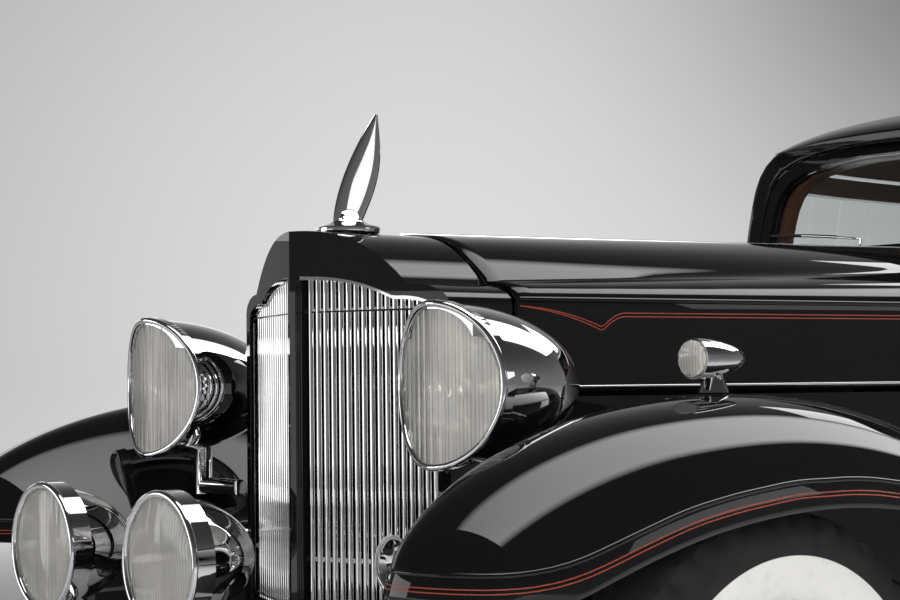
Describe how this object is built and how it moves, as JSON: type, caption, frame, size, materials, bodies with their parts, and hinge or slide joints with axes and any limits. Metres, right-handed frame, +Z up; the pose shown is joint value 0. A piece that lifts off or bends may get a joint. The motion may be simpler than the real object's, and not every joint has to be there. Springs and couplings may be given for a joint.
{
  "type": "coupe",
  "caption": "Early 1930s long-hood luxury coupe with pontoon-like open fenders, V grille, bullet lamps, opening doors, hood and rumble lid, rolling wheels and steering.",
  "frame": {"origin": "on the ground under the middle of the car's length and width", "axes": "+X forward along the car, +Y to the car's left, +Z up"},
  "size_m": [5.367, 1.9208, 1.7],
  "materials": {
    "body_paint": "gloss black",
    "wheel_paint": "gloss black",
    "chassis_paint": "satin black",
    "engine_iron": "painted casting",
    "chrome": "polished",
    "glass": "clear",
    "tyre": "matt with a white side band",
    "wheel_rubber": "hard rubber rim",
    "wood": "varnished",
    "seat_cloth": "wool cloth",
    "seat_leather": "brown"
  },
  "bodies": {
    "chassis": {"frame": "chassis_paint", "front_axle": "chassis_paint", "rear_axle": "chassis_paint", "springs": "chassis_paint", "engine": "engine_iron", "exhaust": "chassis_paint", "fuel_tank": "chassis_paint", "radiator_shell": "body_paint", "grille": "chrome", "radiator_cap": "chrome", "lamp_shells": "chrome", "lamp_lenses": "glass", "horns": "chrome", "front_fender_left": "body_paint", "front_fender_right": "body_paint", "rear_fender_left": "body_paint", "rear_fender_right": "body_paint", "running_boards": "body_paint", "hood_ledges": "body_paint", "front_apron": "body_paint", "hinges": "chrome", "cowl": "body_paint", "windshield_frame": "body_paint", "fixed_glass": "glass", "cabin_top": "body_paint", "rear_body": "body_paint", "floor": "chassis_paint", "firewall": "chassis_paint", "dashboard": "wood", "seat_cushion": "seat_cloth", "seat_back": "seat_cloth", "rumble_cushion": "seat_leather", "front_bumper": "chrome", "rear_bumper": "chrome", "tail_lamps": "chrome"},
    "knuckle_left": {"knuckle_left": "chassis_paint"},
    "knuckle_right": {"knuckle_right": "chassis_paint"},
    "wheel_front_left": {"wheel_front_left": "wheel_paint", "tyre_front_left": "tyre"},
    "wheel_front_right": {"wheel_front_right": "wheel_paint", "tyre_front_right": "tyre"},
    "wheel_rear_left": {"wheel_rear_left": "wheel_paint", "tyre_rear_left": "tyre"},
    "wheel_rear_right": {"wheel_rear_right": "wheel_paint", "tyre_rear_right": "tyre"},
    "door_left": {"door_left": "body_paint", "door_glass_left": "glass"},
    "hood_left": {"hood_left": "body_paint"},
    "door_right": {"door_right": "body_paint", "door_glass_right": "glass"},
    "hood_right": {"hood_right": "body_paint"},
    "rumble_lid": {"rumble_lid": "body_paint"},
    "steering_wheel": {"steering_wheel": "wheel_rubber"}
  },
  "joints": [
    {"name": "steer_left", "type": "hinge", "parent": "chassis", "child": "knuckle_left", "pos_m": [1.8835, 0.64, 0.4], "axis": [0, 0, 1], "range_deg": [-32, 32]},
    {"name": "steer_right", "type": "hinge", "parent": "chassis", "child": "knuckle_right", "pos_m": [1.8835, -0.64, 0.4], "axis": [0, 0, 1], "range_deg": [-32, 32]},
    {"name": "steering_wheel_turn", "type": "hinge", "parent": "chassis", "child": "steering_wheel", "pos_m": [-0.0165, 0.33, 1.128], "axis": [-0.8919, 0, 0.4523], "range_deg": [-450, 450]},
    {"name": "front_left_roll", "type": "hinge", "parent": "knuckle_left", "child": "wheel_front_left", "pos_m": [1.8835, 0.762, 0.4], "axis": [0, 1, 0], "continuous": true},
    {"name": "front_right_roll", "type": "hinge", "parent": "knuckle_right", "child": "wheel_front_right", "pos_m": [1.8835, -0.762, 0.4], "axis": [0, 1, 0], "continuous": true},
    {"name": "rear_left_roll", "type": "hinge", "parent": "chassis", "child": "wheel_rear_left", "pos_m": [-1.7235, 0.78, 0.4], "axis": [0, 1, 0], "continuous": true},
    {"name": "rear_right_roll", "type": "hinge", "parent": "chassis", "child": "wheel_rear_right", "pos_m": [-1.7235, -0.78, 0.4], "axis": [0, 1, 0], "continuous": true},
    {"name": "door_left_swing", "type": "hinge", "parent": "chassis", "child": "door_left", "pos_m": [-0.656, 0.71037, 0.85], "axis": [0, 0, 1], "range_deg": [0, 65]},
    {"name": "door_right_swing", "type": "hinge", "parent": "chassis", "child": "door_right", "pos_m": [-0.656, -0.71037, 0.85], "axis": [0, 0, -1], "range_deg": [0, 65]},
    {"name": "hood_left_lift", "type": "hinge", "parent": "chassis", "child": "hood_left", "pos_m": [1.9835, 0, 1.278], "axis": [0.9998, 0, -0.0176], "range_deg": [0, 60]},
    {"name": "hood_right_lift", "type": "hinge", "parent": "chassis", "child": "hood_right", "pos_m": [1.9835, 0, 1.278], "axis": [-0.9998, 0, 0.0176], "range_deg": [0, 60]},
    {"name": "rumble_lid_lift", "type": "hinge", "parent": "chassis", "child": "rumble_lid", "pos_m": [-1.978, 0, 0.9589], "axis": [0, -1, 0], "range_deg": [0, 70]}
  ],
  "couplings": [
    {"joint": "steer_right", "follows": "steer_left", "ratio": 1},
    {"joint": "steering_wheel_turn", "follows": "steer_left", "ratio": 14}
  ]
}
